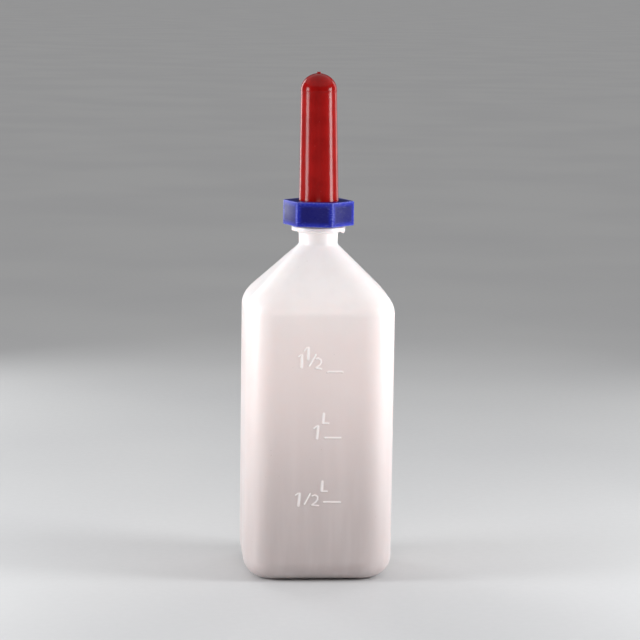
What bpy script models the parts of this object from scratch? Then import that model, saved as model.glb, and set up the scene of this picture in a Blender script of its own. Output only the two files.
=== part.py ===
"""A two-litre calf feeding bottle: a blow-moulded bottle, a rubber teat with a ball valve in its base,
and the hexagonal screw collar that clamps them together. Metres, +Z up, origin at the centre of the base."""

import math

import bmesh
import bpy
from mathutils import Matrix

MM = 0.001
TURN = 2 * math.pi

# Bottle body: a rounded rectangle in plan, with a straight-sided shoulder up to a round neck.
BODY_WIDTH = 110.0 * MM
BODY_DEPTH = 104.0 * MM
CORNER_RADIUS = 23.0 * MM
WALL = 1.8 * MM
SHOULDER_HEIGHT = 204.0 * MM
SHOULDER_BEND = 8.0 * MM
SHOULDER_BEND_STEPS = 4
CORNER_SEGMENTS = 8

# Base: rounded edge, a flat foot ring to stand on, and a panel pushed up inside it.
BASE_EDGE_RADIUS = 16.0 * MM
BASE_EDGE_STEPS = 5
FOOT_RING_WIDTH = 5.0 * MM
PUSH_UP_SLOPE_WIDTH = 7.0 * MM
PUSH_UP_HEIGHT = 4.0 * MM
PUSH_UP_CORNER_RADIUS = 10.0 * MM

# Neck: a plain waist, a support flange and the wider threaded finish.
NECK_BASE_HEIGHT = 244.2 * MM
NECK_LOW_RADIUS = 14.2 * MM
NECK_RADIUS = 14.5 * MM
NECK_TOP_HEIGHT = 252.4 * MM
FLANGE_RADIUS = 19.8 * MM
FLANGE_LOW_HEIGHT = 253.0 * MM
FLANGE_EDGE_HEIGHT = 254.7 * MM
FLANGE_TOP_HEIGHT = 257.2 * MM
FLANGE_CHAMFER = 0.4 * MM
FINISH_RADIUS = 17.6 * MM
RIM_HEIGHT = 267.4 * MM

# Thread: right-handed, so a collar turned anticlockwise from above rises by one pitch a turn.
PITCH = 3.2 * MM
THREAD_TURNS = 2.0
THREAD_SEGMENTS = 32
THREAD_ROOT_WIDTH = 1.7 * MM
THREAD_CREST_WIDTH = 0.8 * MM
THREAD_RUN_OUT = 0.12
THREAD_LEAST_HEIGHT = 0.15 * MM
THREAD_BURY = 0.5 * MM
THREAD_START_HEIGHT = 259.3 * MM
NECK_THREAD_CREST = 19.0 * MM
NECK_THREAD_ANGLE = 0.0
COLLAR_THREAD_CREST = 18.1 * MM
COLLAR_THREAD_ANGLE = TURN / 2

# Screw collar: a hexagonal ring nut with a hole for the teat in its top.
COLLAR_BOTTOM = 258.25 * MM
COLLAR_TOP = 276.25 * MM
COLLAR_CORNER_RADIUS = 26.4 * MM
COLLAR_EDGE_BEVEL = 0.5 * MM
COLLAR_BORE = 19.4 * MM
COLLAR_MOUTH_CHAMFER = 0.5 * MM
COLLAR_TOP_HOLE = 15.1 * MM
COLLAR_LID = 2.65 * MM
COLLAR_ANGLE = math.radians(-11.2)
COLLAR_SEGMENTS = 36

# The stack that the collar clamps, from the rim up, with the running gap between neighbours.
GAP = 0.3 * MM
GASKET_THICKNESS = 1.0 * MM
GASKET_INNER_RADIUS = 15.3 * MM
GASKET_OUTER_RADIUS = 17.8 * MM
SEAT_THICKNESS = 1.5 * MM
SEAT_RADIUS = 17.6 * MM

# Teat: a long tapering rubber barrel with a domed end, a clamped flange and a milk hole at the tip.
TEAT_FLANGE_THICKNESS = 2.5 * MM
TEAT_FLANGE_RADIUS = 18.9 * MM
TEAT_BASE_RADIUS = 14.5 * MM
TEAT_TOP_RADIUS = 13.2 * MM
TEAT_BASE_BORE = 10.9 * MM
TEAT_TOP_BORE = 9.8 * MM
DOME_BASE_HEIGHT = 356.9 * MM
DOME_RADIUS = 13.3 * MM
DOME_RISE = 12.6 * MM
DOME_WALL = 3.4 * MM
DOME_STEPS = 7
DOME_RING_HEIGHT = 0.6 * MM
MILK_HOLE_RADIUS = 0.8 * MM
TIP_LIP_RADIUS = 1.55 * MM
TIP_LIP_HEIGHT = 1.0 * MM
TEAT_SEGMENTS = 32

# Ball valve in the teat's base.
BALL_RADIUS = 4.5 * MM
BALL_LIFT = 3.0 * MM
BALL_SEGMENTS = 20
BALL_RINGS = 10
SEAT_HOLE_RADIUS = 3.0 * MM
SEAT_BOSS_RADIUS = 5.6 * MM
SEAT_BOSS_HEIGHT = 1.0 * MM
SEAT_CONE_DEPTH = 1.5 * MM
HUB_INNER_RADIUS = 7.3 * MM
HUB_OUTER_RADIUS = 8.8 * MM
HUB_HEIGHT = 3.5 * MM
CAGE_INNER_RADIUS = 5.1 * MM
CAGE_OUTER_RADIUS = 7.0 * MM
CAGE_TOP_HOLE = 2.6 * MM
CAGE_RING_HEIGHT = 2.9 * MM
CAGE_ROOF = 1.6 * MM
CAGE_SHOULDER = 1.4 * MM
CAGE_WINDOWS = 4
CAGE_WINDOW_WIDTH = 4.6 * MM
VALVE_SEGMENTS = 32

# Duckbill air inlet, held under the teat's flange.
VENT_OFFSET = 13.4 * MM
VENT_FLANGE_RADIUS = 2.0 * MM
VENT_FLANGE_THICKNESS = 0.6 * MM
VENT_TUBE_RADIUS = 1.3 * MM
VENT_BORE_RADIUS = 0.6 * MM
VENT_TUBE_LENGTH = 3.0 * MM
VENT_BILL_LENGTH = 2.2 * MM
VENT_BILL_TIP = 0.4 * MM
VENT_SLIT = 0.2 * MM
VENT_SLIT_END = 0.35 * MM
VENT_CLEARANCE = 0.2 * MM
VENT_GROOVE_WIDTH = 1.2 * MM
VENT_SEGMENTS = 16

# Level lines raised on the front face: 0.5, 1 and 1.5 litres.
LEVEL_HEIGHTS = (60.8 * MM, 108.2 * MM, 156.8 * MM)
LEVEL_LEFT = 3.8 * MM
LEVEL_RIGHT = 14.9 * MM
LEVEL_STROKE = 1.3 * MM
LEVEL_PROUD = 0.4 * MM
LEVEL_BURY = 0.6 * MM
LEVEL_BEVEL = 0.25 * MM

# Heights worked out from the stack.
GASKET_BOTTOM = RIM_HEIGHT + GAP
SEAT_BOTTOM = GASKET_BOTTOM + GASKET_THICKNESS + GAP
SEAT_TOP = SEAT_BOTTOM + SEAT_THICKNESS
TEAT_BOTTOM = SEAT_TOP + GAP
BOSS_TOP = SEAT_TOP + SEAT_BOSS_HEIGHT
CAGE_BOTTOM = BOSS_TOP + GAP
BALL_HEIGHT = BOSS_TOP - SEAT_CONE_DEPTH - SEAT_HOLE_RADIUS + math.sqrt(2) * (BALL_RADIUS + GAP)
CAGE_CEILING = BALL_HEIGHT + BALL_RADIUS + BALL_LIFT + GAP

CUT_MARGIN = 1.0 * MM
WELD_DISTANCE = 1e-6
BEVEL_ANGLE = math.radians(30)
SHARP_ANGLE = math.radians(35)

# Colours, linear.
WHITE = (0.86, 0.85, 0.84)
BLUE = (0.02, 0.04, 0.42)
RED = (0.42, 0.02, 0.02)
SILICONE = (0.75, 0.75, 0.72)
POLYPROPYLENE = (0.8, 0.8, 0.78)
STEEL = (0.62, 0.61, 0.6)


# ---------------------------------------------------------------- scene and object helpers


def clear_scene():
    for item in list(bpy.data.objects):
        bpy.data.objects.remove(item, do_unlink=True)


def new_collection(name):
    collection = bpy.data.collections.new(name)
    bpy.context.scene.collection.children.link(collection)
    return collection


def object_from(name, bm, collection):
    """An object that holds this bmesh, in the given collection."""
    mesh = bpy.data.meshes.new(name)
    bm.to_mesh(mesh)
    bm.free()
    made = bpy.data.objects.new(name, mesh)
    collection.objects.link(made)
    return made


def as_helper(helper):
    """Marks a cutter, or a piece that a Boolean joins to another, as left out of the model."""
    helper.hide_render = True
    helper.display_type = "WIRE"
    return helper


def boolean(target, operand, operation):
    modifier = target.modifiers.new(operand.name, "BOOLEAN")
    modifier.operation = operation
    modifier.solver = "EXACT"
    modifier.object = operand


def bevel(target, width, segments):
    modifier = target.modifiers.new("edge_round", "BEVEL")
    modifier.width = width
    modifier.segments = segments
    modifier.limit_method = "ANGLE"
    modifier.angle_limit = BEVEL_ANGLE


def turned(name, profile, segments, collection):
    """A closed profile of (radius, height) turned about Z. It runs down its outer side and up its inner one."""
    bm = bmesh.new()
    points = [bm.verts.new((radius, 0, height)) for radius, height in profile]
    on_axis = profile[0][0] == 0 and profile[-1][0] == 0
    for first, second in zip(points, points[1:]):
        bm.edges.new((first, second))
    if not on_axis:
        bm.edges.new((points[-1], points[0]))
    made = object_from(name, bm, collection)
    screw = made.modifiers.new("turn", "SCREW")
    screw.axis = "Z"
    screw.angle = TURN
    screw.steps = segments
    screw.render_steps = segments
    screw.use_merge_vertices = True
    screw.merge_threshold = WELD_DISTANCE
    return made


def lofted(name, sections, collection, cap_start, cap_end):
    """A skin through sections that hold the same number of points, with flat caps where asked."""
    bm = bmesh.new()
    rows = [[bm.verts.new(point) for point in section] for section in sections]
    for lower, upper in zip(rows, rows[1:]):
        for i in range(len(lower)):
            j = (i + 1) % len(lower)
            bm.faces.new((lower[i], lower[j], upper[j], upper[i]))
    if cap_start:
        bm.faces.new(reversed(rows[0]))
    if cap_end:
        bm.faces.new(rows[-1])
    bmesh.ops.remove_doubles(bm, verts=bm.verts, dist=WELD_DISTANCE)
    return object_from(name, bm, collection)


def face_outwards(target):
    bm = bmesh.new()
    bm.from_mesh(target.data)
    bmesh.ops.recalc_face_normals(bm, faces=bm.faces)
    bm.to_mesh(target.data)
    bm.free()


def box(name, low, high, collection):
    bm = bmesh.new()
    bmesh.ops.create_cube(bm, size=1)
    for vert in bm.verts:
        for k in range(3):
            vert.co[k] = low[k] if vert.co[k] < 0 else high[k]
    return object_from(name, bm, collection)


def shade(target, material):
    """Gives the piece its material and smooth shading, with its real edges kept sharp."""
    target.data.materials.append(material)
    target.data.shade_smooth()
    target.data.set_sharp_from_angle(angle=SHARP_ANGLE)


# ---------------------------------------------------------------- materials


def plastic(name, colour, roughness):
    material = bpy.data.materials.new(name)
    material.use_nodes = True
    shader = material.node_tree.nodes["Principled BSDF"]
    shader.inputs["Base Color"].default_value = (*colour, 1)
    shader.inputs["Roughness"].default_value = roughness
    shader.inputs["Metallic"].default_value = 0
    return material


def steel(name, colour, roughness):
    material = plastic(name, colour, roughness)
    material.node_tree.nodes["Principled BSDF"].inputs["Metallic"].default_value = 1
    return material


# ---------------------------------------------------------------- threads


def helical_ridge(name, root, crest, start_angle, collection):
    """A thread ridge from its root radius, buried in the wall, to its crest, fading out at both ends.
    Ridges that start half a turn apart at one height lie midway between each other's turns."""
    steps = round(THREAD_TURNS * THREAD_SEGMENTS)
    bury = math.copysign(THREAD_BURY, root - crest)
    least = math.copysign(THREAD_LEAST_HEIGHT, crest - root)
    sections = []
    for i in range(steps + 1):
        turns = i / THREAD_SEGMENTS
        fade = min(1, turns / THREAD_RUN_OUT, (THREAD_TURNS - turns) / THREAD_RUN_OUT)
        top = root + least + (crest - root - least) * fade
        height = THREAD_START_HEIGHT + PITCH * turns
        outline = (
            (root + bury, height - THREAD_ROOT_WIDTH / 2),
            (top, height - THREAD_CREST_WIDTH / 2),
            (top, height + THREAD_CREST_WIDTH / 2),
            (root + bury, height + THREAD_ROOT_WIDTH / 2),
        )
        angle = start_angle + TURN * turns
        sections.append([(r * math.cos(angle), r * math.sin(angle), z) for r, z in outline])
    ridge = lofted(name, sections, collection, cap_start=True, cap_end=True)
    face_outwards(ridge)
    return as_helper(ridge)


# ---------------------------------------------------------------- bottle


def rounded_rectangle(half_width, half_depth, radius, height):
    """Points anticlockwise from above. Where the radius is both half sides, the outline is a circle."""
    points = []
    for quarter in range(4):
        sign_x = (1, -1, -1, 1)[quarter]
        sign_y = (1, 1, -1, -1)[quarter]
        for i in range(CORNER_SEGMENTS + 1):
            angle = (quarter + i / CORNER_SEGMENTS) * TURN / 4
            x = sign_x * (half_width - radius) + radius * math.cos(angle)
            y = sign_y * (half_depth - radius) + radius * math.sin(angle)
            points.append((x, y, height))
    return points


def body_section(inset, height, least_radius=0):
    radius = max(CORNER_RADIUS - inset, least_radius)
    return rounded_rectangle(BODY_WIDTH / 2 - inset, BODY_DEPTH / 2 - inset, radius, height)


def shoulder_section(share, height):
    """A section between the body's outline, at share 0, and the neck's circle, at share 1."""
    half_width = BODY_WIDTH / 2 + (NECK_LOW_RADIUS - BODY_WIDTH / 2) * share
    half_depth = BODY_DEPTH / 2 + (NECK_LOW_RADIUS - BODY_DEPTH / 2) * share
    radius = CORNER_RADIUS + (NECK_LOW_RADIUS - CORNER_RADIUS) * share
    return rounded_rectangle(half_width, half_depth, radius, height)


def round_section(radius, height):
    return rounded_rectangle(radius, radius, radius, height)


def base_sections():
    foot_inner = BASE_EDGE_RADIUS + FOOT_RING_WIDTH
    sections = [
        body_section(foot_inner + PUSH_UP_SLOPE_WIDTH, PUSH_UP_HEIGHT, PUSH_UP_CORNER_RADIUS),
        body_section(foot_inner, 0, PUSH_UP_CORNER_RADIUS),
    ]
    for i in range(BASE_EDGE_STEPS + 1):
        angle = i / BASE_EDGE_STEPS * TURN / 4
        inset = BASE_EDGE_RADIUS * (1 - math.sin(angle))
        sections.append(body_section(inset, BASE_EDGE_RADIUS * (1 - math.cos(angle))))
    return sections


def shoulder_sections():
    """The bend from wall to shoulder, as a quadratic curve, and the straight slope up to the neck."""
    rise = NECK_BASE_HEIGHT - SHOULDER_HEIGHT
    sections = []
    for i in range(SHOULDER_BEND_STEPS + 1):
        t = i / SHOULDER_BEND_STEPS
        height = SHOULDER_HEIGHT + SHOULDER_BEND * (2 * t - 1)
        sections.append(shoulder_section(t * t * SHOULDER_BEND / rise, height))
    sections.append(shoulder_section(1, NECK_BASE_HEIGHT))
    return sections


def neck_sections():
    return [
        round_section(NECK_RADIUS, NECK_TOP_HEIGHT),
        round_section(FINISH_RADIUS, FLANGE_EDGE_HEIGHT),
        round_section(FINISH_RADIUS, RIM_HEIGHT),
    ]


def neck_flange(helpers):
    """The ring under the thread, with its underside sloping up and outwards from the waist."""
    inside = FINISH_RADIUS - THREAD_BURY
    chamfer = FLANGE_CHAMFER
    profile = [
        (inside, FLANGE_TOP_HEIGHT),
        (FLANGE_RADIUS - chamfer, FLANGE_TOP_HEIGHT),
        (FLANGE_RADIUS, FLANGE_TOP_HEIGHT - chamfer),
        (FLANGE_RADIUS, FLANGE_EDGE_HEIGHT),
        (NECK_RADIUS + chamfer, FLANGE_LOW_HEIGHT),
        (NECK_RADIUS - THREAD_BURY, FLANGE_LOW_HEIGHT - chamfer),
        (NECK_RADIUS - THREAD_BURY, FLANGE_LOW_HEIGHT + chamfer),
        (inside, FLANGE_EDGE_HEIGHT + chamfer),
    ]
    return as_helper(turned("neck_flange", profile, 4 * CORNER_SEGMENTS, helpers))


def level_line(index, height, helpers):
    front = -BODY_DEPTH / 2
    low = (LEVEL_LEFT, front - LEVEL_PROUD, height - LEVEL_STROKE / 2)
    high = (LEVEL_RIGHT, front + LEVEL_BURY, height + LEVEL_STROKE / 2)
    line = box(f"level_line_{index}", low, high, helpers)
    bevel(line, LEVEL_BEVEL, 1)
    return as_helper(line)


def build_bottle(parts, helpers):
    sections = base_sections() + shoulder_sections() + neck_sections()
    bottle = lofted("bottle", sections, parts, cap_start=True, cap_end=False)
    wall = bottle.modifiers.new("wall", "SOLIDIFY")
    wall.thickness = WALL
    wall.offset = -1
    wall.use_even_offset = True
    boolean(bottle, neck_flange(helpers), "UNION")
    thread = helical_ridge("neck_thread", FINISH_RADIUS, NECK_THREAD_CREST, NECK_THREAD_ANGLE, helpers)
    boolean(bottle, thread, "UNION")
    for index, height in enumerate(LEVEL_HEIGHTS):
        boolean(bottle, level_line(index, height, helpers), "UNION")
    shade(bottle, plastic("white_hdpe", WHITE, 0.38))


# ---------------------------------------------------------------- collar


def collar_cutter(helpers):
    """The space inside the collar: the threaded bore, its chamfered mouth and the hole for the teat."""
    ceiling = COLLAR_TOP - COLLAR_LID
    profile = [
        (0, COLLAR_TOP + CUT_MARGIN),
        (COLLAR_TOP_HOLE, COLLAR_TOP + CUT_MARGIN),
        (COLLAR_TOP_HOLE, ceiling),
        (COLLAR_BORE, ceiling),
        (COLLAR_BORE, COLLAR_BOTTOM + COLLAR_MOUTH_CHAMFER),
        (COLLAR_BORE + COLLAR_MOUTH_CHAMFER + CUT_MARGIN, COLLAR_BOTTOM - CUT_MARGIN),
        (0, COLLAR_BOTTOM - CUT_MARGIN),
    ]
    return as_helper(turned("collar_bore", profile, COLLAR_SEGMENTS, helpers))


def build_collar(parts, helpers):
    bm = bmesh.new()
    bmesh.ops.create_cone(
        bm,
        cap_ends=True,
        segments=6,
        radius1=COLLAR_CORNER_RADIUS,
        radius2=COLLAR_CORNER_RADIUS,
        depth=COLLAR_TOP - COLLAR_BOTTOM,
    )
    # A cone's first corner lies on +Y, which puts flats on -X and +X: a twelfth of a turn faces one to -Y.
    bmesh.ops.rotate(bm, verts=bm.verts, matrix=Matrix.Rotation(TURN / 12 + COLLAR_ANGLE, 3, "Z"))
    bmesh.ops.translate(bm, verts=bm.verts, vec=(0, 0, (COLLAR_TOP + COLLAR_BOTTOM) / 2))
    collar = object_from("screw_collar", bm, parts)
    bevel(collar, COLLAR_EDGE_BEVEL, 2)
    boolean(collar, collar_cutter(helpers), "DIFFERENCE")
    thread = helical_ridge("collar_thread", COLLAR_BORE, COLLAR_THREAD_CREST, COLLAR_THREAD_ANGLE, helpers)
    boolean(collar, thread, "UNION")
    shade(collar, plastic("blue_plastic", BLUE, 0.3))


# ---------------------------------------------------------------- teat


def dome_point(share, radius, rise):
    """A point on the dome's quarter ellipse, from its tip at share 0 to its foot at share 1."""
    angle = share * TURN / 4
    return (radius * math.sin(angle), DOME_BASE_HEIGHT + rise * math.cos(angle))


def teat_outside():
    tip = DOME_BASE_HEIGHT + DOME_RISE
    flange_top = TEAT_BOTTOM + TEAT_FLANGE_THICKNESS
    points = [(MILK_HOLE_RADIUS, tip + TIP_LIP_HEIGHT), (TIP_LIP_RADIUS, tip + TIP_LIP_HEIGHT)]
    first = math.asin(TIP_LIP_RADIUS / DOME_RADIUS) / (TURN / 4)
    for i in range(DOME_STEPS + 1):
        share = first + (1 - first) * i / DOME_STEPS
        points.append(dome_point(share, DOME_RADIUS, DOME_RISE))
    points += [
        (TEAT_TOP_RADIUS, DOME_BASE_HEIGHT - DOME_RING_HEIGHT),
        (TEAT_BASE_RADIUS, COLLAR_TOP),
        (TEAT_BASE_RADIUS, flange_top),
        (TEAT_FLANGE_RADIUS, flange_top),
        (TEAT_FLANGE_RADIUS, TEAT_BOTTOM),
    ]
    return points


def teat_inside():
    points = [(TEAT_BASE_BORE, TEAT_BOTTOM), (TEAT_TOP_BORE, DOME_BASE_HEIGHT)]
    last = math.asin(MILK_HOLE_RADIUS / TEAT_TOP_BORE) / (TURN / 4)
    rise = DOME_RISE - DOME_WALL
    for i in range(1, DOME_STEPS):
        share = 1 - (1 - last) * i / (DOME_STEPS - 1)
        points.append(dome_point(share, TEAT_TOP_BORE, rise))
    return points


def build_teat(parts):
    teat = turned("teat", teat_outside() + teat_inside(), TEAT_SEGMENTS, parts)
    shade(teat, plastic("red_rubber", RED, 0.25))


# ---------------------------------------------------------------- gasket and ball valve


def build_gasket(parts):
    top = GASKET_BOTTOM + GASKET_THICKNESS
    profile = [
        (GASKET_OUTER_RADIUS, top),
        (GASKET_OUTER_RADIUS, GASKET_BOTTOM),
        (GASKET_INNER_RADIUS, GASKET_BOTTOM),
        (GASKET_INNER_RADIUS, top),
    ]
    gasket = turned("rim_gasket", profile, VALVE_SEGMENTS, parts)
    shade(gasket, plastic("clear_silicone", SILICONE, 0.45))


def vent_cutter(helpers):
    """The stepped hole that takes the duckbill, open above for its flange."""
    pocket_floor = SEAT_TOP - VENT_FLANGE_THICKNESS - VENT_CLEARANCE
    pocket = VENT_FLANGE_RADIUS + VENT_CLEARANCE
    hole = VENT_TUBE_RADIUS + VENT_CLEARANCE
    profile = [
        (0, SEAT_TOP + CUT_MARGIN),
        (pocket, SEAT_TOP + CUT_MARGIN),
        (pocket, pocket_floor),
        (hole, pocket_floor),
        (hole, SEAT_BOTTOM - CUT_MARGIN),
        (0, SEAT_BOTTOM - CUT_MARGIN),
    ]
    cutter = turned("vent_hole", profile, VENT_SEGMENTS, helpers)
    cutter.location.x = VENT_OFFSET
    return as_helper(cutter)


def vent_groove(helpers):
    """The channel that lets air in from the seat's edge, under the teat's flange, to the duckbill."""
    low = (VENT_OFFSET, -VENT_GROOVE_WIDTH / 2, SEAT_TOP - VENT_FLANGE_THICKNESS)
    high = (SEAT_RADIUS + CUT_MARGIN, VENT_GROOVE_WIDTH / 2, SEAT_TOP + CUT_MARGIN)
    return as_helper(box("vent_groove", low, high, helpers))


def build_valve_seat(parts, helpers):
    profile = [
        (SEAT_HOLE_RADIUS + SEAT_CONE_DEPTH, BOSS_TOP),
        (SEAT_BOSS_RADIUS, BOSS_TOP),
        (SEAT_BOSS_RADIUS, SEAT_TOP),
        (HUB_INNER_RADIUS, SEAT_TOP),
        (HUB_INNER_RADIUS, SEAT_TOP + HUB_HEIGHT),
        (HUB_OUTER_RADIUS, SEAT_TOP + HUB_HEIGHT),
        (HUB_OUTER_RADIUS, SEAT_TOP),
        (SEAT_RADIUS, SEAT_TOP),
        (SEAT_RADIUS, SEAT_BOTTOM),
        (SEAT_HOLE_RADIUS, SEAT_BOTTOM),
        (SEAT_HOLE_RADIUS, BOSS_TOP - SEAT_CONE_DEPTH),
    ]
    seat = turned("valve_seat", profile, VALVE_SEGMENTS, parts)
    boolean(seat, vent_cutter(helpers), "DIFFERENCE")
    boolean(seat, vent_groove(helpers), "DIFFERENCE")
    shade(seat, plastic("natural_polypropylene", POLYPROPYLENE, 0.4))


def build_valve_cage(parts, helpers):
    """A cup turned upside down over the ball, with windows round it that let the milk out."""
    profile = [
        (CAGE_TOP_HOLE, CAGE_CEILING + CAGE_ROOF),
        (CAGE_OUTER_RADIUS - CAGE_SHOULDER, CAGE_CEILING + CAGE_ROOF),
        (CAGE_OUTER_RADIUS, CAGE_CEILING + CAGE_ROOF - CAGE_SHOULDER),
        (CAGE_OUTER_RADIUS, CAGE_BOTTOM),
        (CAGE_INNER_RADIUS, CAGE_BOTTOM),
        (CAGE_INNER_RADIUS, CAGE_CEILING),
        (CAGE_TOP_HOLE, CAGE_CEILING),
    ]
    cage = turned("valve_cage", profile, VALVE_SEGMENTS, parts)
    for index in range(CAGE_WINDOWS // 2):
        low = (-CAGE_OUTER_RADIUS - CUT_MARGIN, -CAGE_WINDOW_WIDTH / 2, CAGE_BOTTOM + CAGE_RING_HEIGHT)
        high = (CAGE_OUTER_RADIUS + CUT_MARGIN, CAGE_WINDOW_WIDTH / 2, CAGE_CEILING - GAP)
        window = as_helper(box(f"cage_window_{index}", low, high, helpers))
        window.rotation_euler.z = index * TURN / CAGE_WINDOWS
        boolean(cage, window, "DIFFERENCE")
    shade(cage, plastic("natural_polypropylene_cage", POLYPROPYLENE, 0.4))


def build_valve_ball(parts):
    bm = bmesh.new()
    bmesh.ops.create_uvsphere(bm, u_segments=BALL_SEGMENTS, v_segments=BALL_RINGS, radius=BALL_RADIUS)
    ball = object_from("valve_ball", bm, parts)
    ball.location.z = BALL_HEIGHT
    shade(ball, steel("stainless_steel", STEEL, 0.18))


def build_vent(parts, helpers):
    """A rubber duckbill: a flanged tube whose lower end narrows to two lips with a slit between them."""
    flange_bottom = SEAT_TOP - VENT_FLANGE_THICKNESS
    tube_bottom = flange_bottom - VENT_TUBE_LENGTH
    profile = [
        (0, SEAT_TOP),
        (VENT_FLANGE_RADIUS, SEAT_TOP),
        (VENT_FLANGE_RADIUS, flange_bottom),
        (VENT_TUBE_RADIUS, flange_bottom),
        (VENT_TUBE_RADIUS, tube_bottom),
        (VENT_TUBE_RADIUS, tube_bottom - VENT_BILL_LENGTH),
        (0, tube_bottom - VENT_BILL_LENGTH),
    ]
    vent = turned("vent_duckbill", profile, VENT_SEGMENTS, parts)
    vent.location.x = VENT_OFFSET
    for side in (-1, 1):
        boolean(vent, bill_cutter(side, tube_bottom, helpers), "DIFFERENCE")
    boolean(vent, bill_bore(tube_bottom, helpers), "DIFFERENCE")
    boolean(vent, bill_slit(tube_bottom, helpers), "DIFFERENCE")
    shade(vent, plastic("vent_silicone", SILICONE, 0.45))


def bill_cutter(side, tube_bottom, helpers):
    """A wedge that slopes one side of the bill in towards its slit."""
    reach = VENT_TUBE_RADIUS + CUT_MARGIN
    bottom = tube_bottom - VENT_BILL_LENGTH - CUT_MARGIN
    slope = (VENT_TUBE_RADIUS - VENT_BILL_TIP) / VENT_BILL_LENGTH
    tip = VENT_BILL_TIP - slope * CUT_MARGIN
    outline = [(VENT_TUBE_RADIUS, tube_bottom), (tip, bottom), (reach, bottom), (reach, tube_bottom)]
    ends = [
        [(VENT_OFFSET + x, side * y, z) for y, z in outline]
        for x in (-reach, reach)
    ]
    wedge = lofted(f"bill_cutter_{side}", ends, helpers, cap_start=True, cap_end=True)
    face_outwards(wedge)
    return as_helper(wedge)


def bill_bore(tube_bottom, helpers):
    profile = [
        (0, SEAT_TOP + CUT_MARGIN),
        (VENT_BORE_RADIUS, SEAT_TOP + CUT_MARGIN),
        (VENT_BORE_RADIUS, tube_bottom),
        (0, tube_bottom),
    ]
    bore = turned("bill_bore", profile, VENT_SEGMENTS, helpers)
    bore.location.x = VENT_OFFSET
    return as_helper(bore)


def bill_slit(tube_bottom, helpers):
    half = VENT_TUBE_RADIUS - VENT_SLIT_END
    low = (VENT_OFFSET - half, -VENT_SLIT / 2, tube_bottom - VENT_BILL_LENGTH - CUT_MARGIN)
    high = (VENT_OFFSET + half, VENT_SLIT / 2, tube_bottom + VENT_BORE_RADIUS)
    return as_helper(box("bill_slit", low, high, helpers))


def main():
    clear_scene()
    parts = new_collection("calf_feeding_bottle")
    helpers = new_collection("cutters")
    helpers.hide_render = True
    build_bottle(parts, helpers)
    build_collar(parts, helpers)
    build_teat(parts)
    build_gasket(parts)
    build_valve_seat(parts, helpers)
    build_valve_cage(parts, helpers)
    build_valve_ball(parts)
    build_vent(parts, helpers)


main()
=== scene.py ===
"""The looks of a calf feeding bottle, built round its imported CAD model.

Metres, +Z up, with the front towards -Y.
"""

import math

import bmesh
import bpy
import numpy as np
from mathutils import Matrix, Vector


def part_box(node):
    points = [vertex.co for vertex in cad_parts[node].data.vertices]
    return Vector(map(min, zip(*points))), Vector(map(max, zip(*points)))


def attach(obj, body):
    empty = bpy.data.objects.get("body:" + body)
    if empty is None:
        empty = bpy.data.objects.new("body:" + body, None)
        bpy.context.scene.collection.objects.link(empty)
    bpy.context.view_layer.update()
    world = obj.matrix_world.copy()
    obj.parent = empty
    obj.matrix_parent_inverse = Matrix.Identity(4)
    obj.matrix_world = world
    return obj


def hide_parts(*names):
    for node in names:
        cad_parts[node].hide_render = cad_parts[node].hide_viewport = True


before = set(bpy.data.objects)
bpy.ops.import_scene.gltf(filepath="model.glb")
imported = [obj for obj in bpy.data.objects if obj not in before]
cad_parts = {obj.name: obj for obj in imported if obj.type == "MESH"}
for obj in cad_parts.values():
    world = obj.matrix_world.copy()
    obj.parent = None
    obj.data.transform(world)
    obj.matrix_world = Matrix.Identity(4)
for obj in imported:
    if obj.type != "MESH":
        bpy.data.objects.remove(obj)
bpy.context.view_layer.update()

MM = 0.001
TURN = 2 * math.pi

# ---------------------------------------------------------------- sizes

BOTTLE_LOW, BOTTLE_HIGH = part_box("bottle")
COLLAR_LOW, COLLAR_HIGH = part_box("screw_collar")
TEAT_LOW, TEAT_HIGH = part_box("teat")

# Bottle. The seam down its sides stands proud, so the walls lie that much inside the CAD box.
WALL = 1.8 * MM
SEAM_PROUD = 0.15 * MM
HALF_WIDTH = BOTTLE_HIGH.x - SEAM_PROUD
HALF_DEPTH = BOTTLE_HIGH.y
MARK_PROUD = -BOTTLE_LOW.y - HALF_DEPTH
CORNER_SIZE = 26.0 * MM
CORNER_POWER = 2.25  # over 2, so that the corners ease into the flats
BASE_EDGE_RADIUS = 16.0 * MM

# The panel pushed up into the base, inside the foot ring. Insets are measured from the walls.
FOOT_INSET = 21.0 * MM
PANEL_SLOPE = 8.0 * MM
PANEL_RISE = 4.0 * MM
PANEL_CORNER_SIZE = 10.0 * MM
PANEL_MIDDLE_HALF_DEPTH = 0.8 * MM

# Shoulder. Its inside lies inwards by the wall's thickness, and lower by a share of it.
SHOULDER_HEIGHT = 204.0 * MM
SHOULDER_BEND = 8.0 * MM
SHOULDER_INNER_DROP = 0.41

# Neck
NECK_BASE_HEIGHT = 244.2 * MM
NECK_FILLET = 2.2 * MM
NECK_LOW_RADIUS = 14.2 * MM
NECK_RADIUS = 14.5 * MM
NECK_TOP_HEIGHT = 252.7 * MM
FLANGE_RADIUS = 19.8 * MM
FLANGE_TOP_HEIGHT = 257.2 * MM
FINISH_RADIUS = 17.6 * MM
RIM_HEIGHT = BOTTLE_HIGH.z

# Flash that the mould's parting plane left under the flange
FLASH_RADIUS = 18.4 * MM
FLASH_HALF_REACH = 1.9 * MM
FLASH_HALF_LENGTH = 2.9 * MM
FLASH_RIGHT_HANG = 2.3 * MM
FLASH_LEFT_HANG = 0.6 * MM

# The line where the mould halves met, up both sides and across the base
SEAM_HALF_WIDTH = 0.60 * MM
SIDE_SEAM_LOW, SIDE_SEAM_HIGH = 8 * MM, NECK_BASE_HEIGHT - 4 * MM
BASE_SEAM_LOW, BASE_SEAM_HIGH = 1.0 * MM, PANEL_RISE + 0.2 * MM
BASE_SEAM_REACH = 34 * MM
BASE_SEAM_PROUD = 0.5 * MM

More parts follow.
